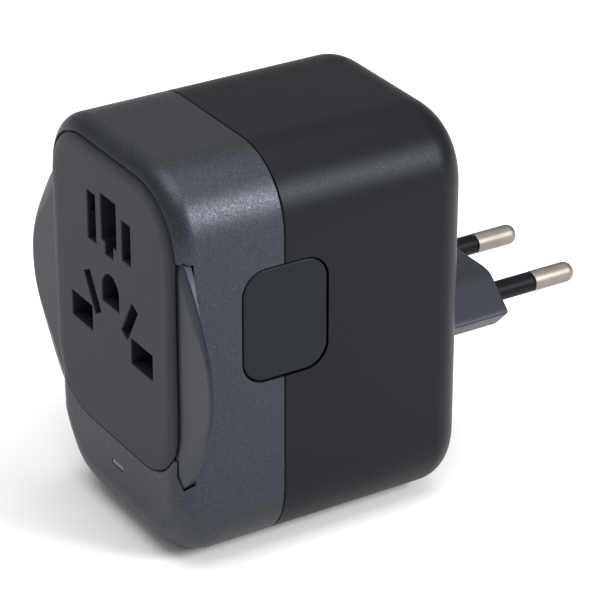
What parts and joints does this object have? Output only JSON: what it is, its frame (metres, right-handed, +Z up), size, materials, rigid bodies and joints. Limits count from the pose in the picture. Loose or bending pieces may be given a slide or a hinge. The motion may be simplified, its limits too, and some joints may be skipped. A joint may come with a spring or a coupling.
{
  "type": "universal travel adapter",
  "caption": "Boxy universal travel adapter: multi-country socket face, selector wheel with thumb ears, side release button and slide-out plugs at the rear, the round-pin one extended.",
  "frame": {"origin": "middle of the bounding box at the underside, at rest with the round-pin plug extended", "axes": "+Z up from the underside, +Y from the socket face towards the plug end, +X towards the side with the release button"},
  "size_m": [0.0672, 0.0944, 0.077],
  "materials": {
    "front_shell_paint": "satin metallic speckle",
    "rear_shell_plastic": "fine satin",
    "panel_plastic": "satin",
    "button_plastic": "matte",
    "plug_plastic": "satin",
    "sleeve_plastic": "matte",
    "inner_plastic": "matte",
    "light_plastic": "matte",
    "nickel_pins": "satin nickel",
    "contact_brass": "bright",
    "steel_parts": "zinc plated",
    "board_green": "solder mask",
    "coil_tape": "film tape",
    "led_diffuser": "frosted"
  },
  "bodies": {
    "casing": {"front_shell": "front_shell_paint", "rear_shell": "rear_shell_plastic", "front_panel": "panel_plastic", "detent_ball": "steel_parts", "detent_spring": "steel_parts", "shutter_spring": "steel_parts", "contact_carrier": "inner_plastic", "line_contact": "contact_brass", "neutral_contact": "contact_brass", "earth_contact": "contact_brass", "line_bus_bar": "contact_brass", "neutral_bus_bar": "contact_brass", "carriage_frame": "inner_plastic", "button_spring": "steel_parts", "main_board": "board_green", "usb_a_port": "nickel_pins", "usb_a_tongue": "light_plastic", "usb_c_port_1": "nickel_pins", "usb_c_port_2": "nickel_pins", "transformer": "coil_tape", "capacitor_1": "sleeve_plastic", "capacitor_2": "sleeve_plastic", "fuse": "nickel_pins", "fuse_cap": "button_plastic", "led_light_pipe": "led_diffuser", "status_led": "light_plastic", "led_board": "board_green", "panel_screw_1": "steel_parts", "case_screw_1": "steel_parts", "panel_screw_2": "steel_parts", "case_screw_2": "steel_parts", "panel_screw_3": "steel_parts", "case_screw_3": "steel_parts", "panel_screw_4": "steel_parts", "case_screw_4": "steel_parts"},
    "selector": {"selector_wheel": "panel_plastic"},
    "release": {"release_button": "button_plastic", "latch_plate": "steel_parts"},
    "shutter": {"socket_shutter": "inner_plastic"},
    "eu_carriage": {"eu_plug_block": "plug_plastic", "eu_pin_left": "nickel_pins", "eu_pin_right": "nickel_pins", "eu_sleeve_left": "sleeve_plastic", "eu_sleeve_right": "sleeve_plastic", "eu_slide_knob": "button_plastic"},
    "uk_carriage": {"uk_plug_plate": "inner_plastic", "uk_neutral_pin": "nickel_pins", "uk_line_pin": "nickel_pins", "uk_earth_pin": "nickel_pins", "uk_slide_knob": "button_plastic"},
    "us_carriage": {"us_plug_plate": "inner_plastic", "us_slide_knob": "button_plastic"},
    "us_line": {"us_line_blade": "nickel_pins"},
    "us_neutral": {"us_neutral_blade": "nickel_pins"}
  },
  "joints": [
    {"name": "wheel_turn", "type": "hinge", "parent": "casing", "child": "selector", "pos_m": [0, -0.045, 0.04124], "axis": [0, 1, 0], "range_deg": [-10, 10]},
    {"name": "button_press", "type": "slide", "parent": "casing", "child": "release", "axis": [-1, 0, 0], "range_m": [0, 0.0018], "stiffness_N_per_m": 400, "springref_m": -0.001, "deforming": ["button_spring"]},
    {"name": "shutter_slide", "type": "slide", "parent": "casing", "child": "shutter", "axis": [0, 0, -1], "range_m": [0, 0.0065], "stiffness_N_per_m": 100, "springref_m": -0.002, "deforming": ["shutter_spring"]},
    {"name": "eu_plug_slide", "type": "slide", "parent": "casing", "child": "eu_carriage", "axis": [0, 1, 0], "range_m": [-0.0343, 0]},
    {"name": "uk_plug_slide", "type": "slide", "parent": "casing", "child": "uk_carriage", "axis": [0, 1, 0], "range_m": [0, 0.0229]},
    {"name": "us_plug_slide", "type": "slide", "parent": "casing", "child": "us_carriage", "axis": [0, 1, 0], "range_m": [0, 0.0178]},
    {"name": "us_line_blade_twist", "type": "hinge", "parent": "us_carriage", "child": "us_line", "pos_m": [0.00635, -0.00765, 0.0528], "axis": [0, 1, 0], "range_deg": [0, 30]},
    {"name": "us_neutral_blade_twist", "type": "hinge", "parent": "us_carriage", "child": "us_neutral", "pos_m": [-0.00635, -0.00765, 0.0528], "axis": [0, 1, 0], "range_deg": [-30, 0]}
  ],
  "couplings": [
    {"joint": "us_neutral_blade_twist", "follows": "us_line_blade_twist", "ratio": -1}
  ]
}
